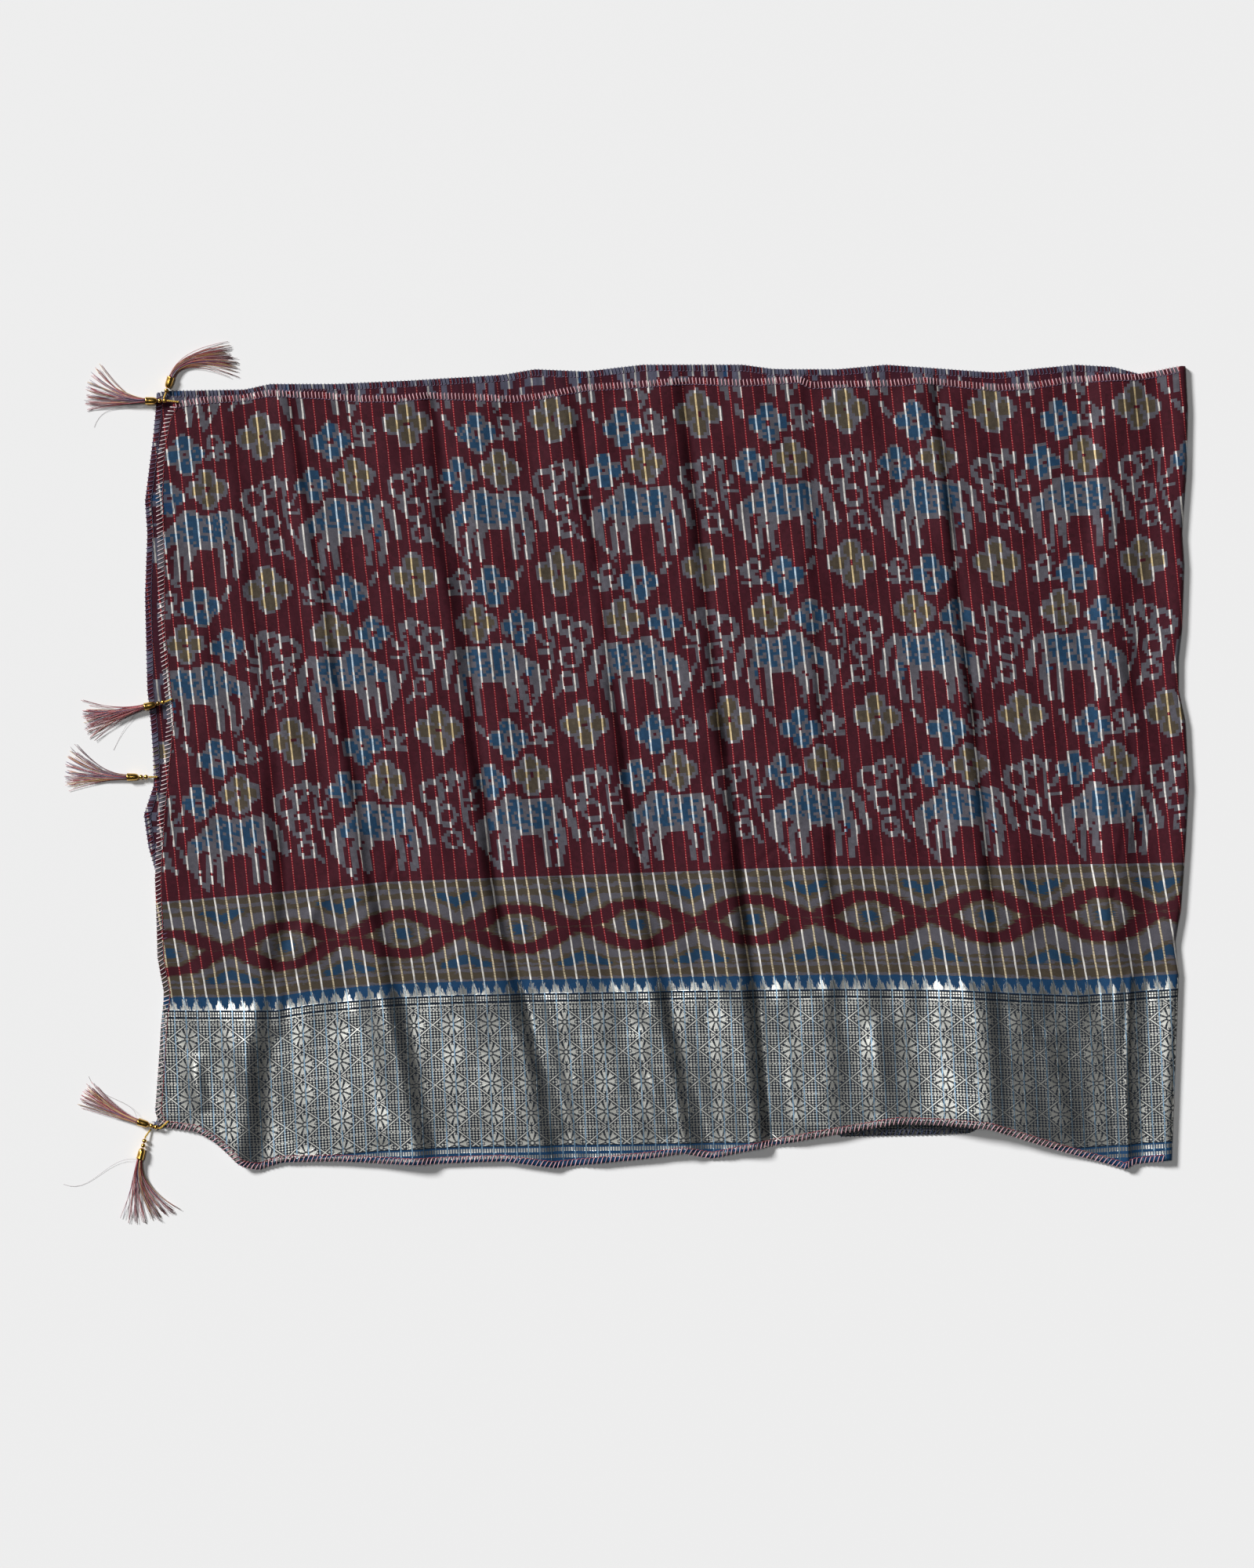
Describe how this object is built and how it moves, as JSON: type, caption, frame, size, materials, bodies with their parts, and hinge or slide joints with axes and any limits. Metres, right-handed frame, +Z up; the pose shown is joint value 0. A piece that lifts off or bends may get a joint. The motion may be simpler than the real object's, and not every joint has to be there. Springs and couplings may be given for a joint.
{
  "type": "printed silk stole, folded in half",
  "caption": "Long printed silk stole with a woven metallic border and tasselled ends, folded once in half and laid flat.",
  "frame": {"origin": "on the flat underside of the lower half, near the middle of the folded cloth", "axes": "+X along the stole towards the fold, +Y across the cloth towards its upper hem, +Z up from the surface it lies on"},
  "size_m": [0.9886, 0.7766, 0.0166],
  "materials": {
    "printed_silk": "matt silk with metallic yarns",
    "printed_silk_reverse": "matt silk, wrong side",
    "gold": "polished gold-coloured metal",
    "loop_thread": "twisted thread",
    "skirt_thread": "loose silk threads"
  },
  "bodies": {
    "root": {"front_half": "printed_silk", "back_half": "printed_silk_reverse", "front_top_tassel_loop": "loop_thread", "front_top_tassel_beads": "gold", "front_top_tassel_cap": "gold", "front_top_tassel_strands": "skirt_thread", "back_top_tassel_loop": "loop_thread", "back_top_tassel_beads": "gold", "back_top_tassel_cap": "gold", "back_top_tassel_strands": "skirt_thread", "front_middle_tassel_loop": "loop_thread", "front_middle_tassel_beads": "gold", "front_middle_tassel_cap": "gold", "front_middle_tassel_strands": "skirt_thread", "back_middle_tassel_loop": "loop_thread", "back_middle_tassel_beads": "gold", "back_middle_tassel_cap": "gold", "back_middle_tassel_strands": "skirt_thread", "front_bottom_tassel_loop": "loop_thread", "front_bottom_tassel_beads": "gold", "front_bottom_tassel_cap": "gold", "front_bottom_tassel_strands": "skirt_thread", "back_bottom_tassel_loop": "loop_thread", "back_bottom_tassel_beads": "gold", "back_bottom_tassel_cap": "gold", "back_bottom_tassel_strands": "skirt_thread"}
  },
  "joints": []
}
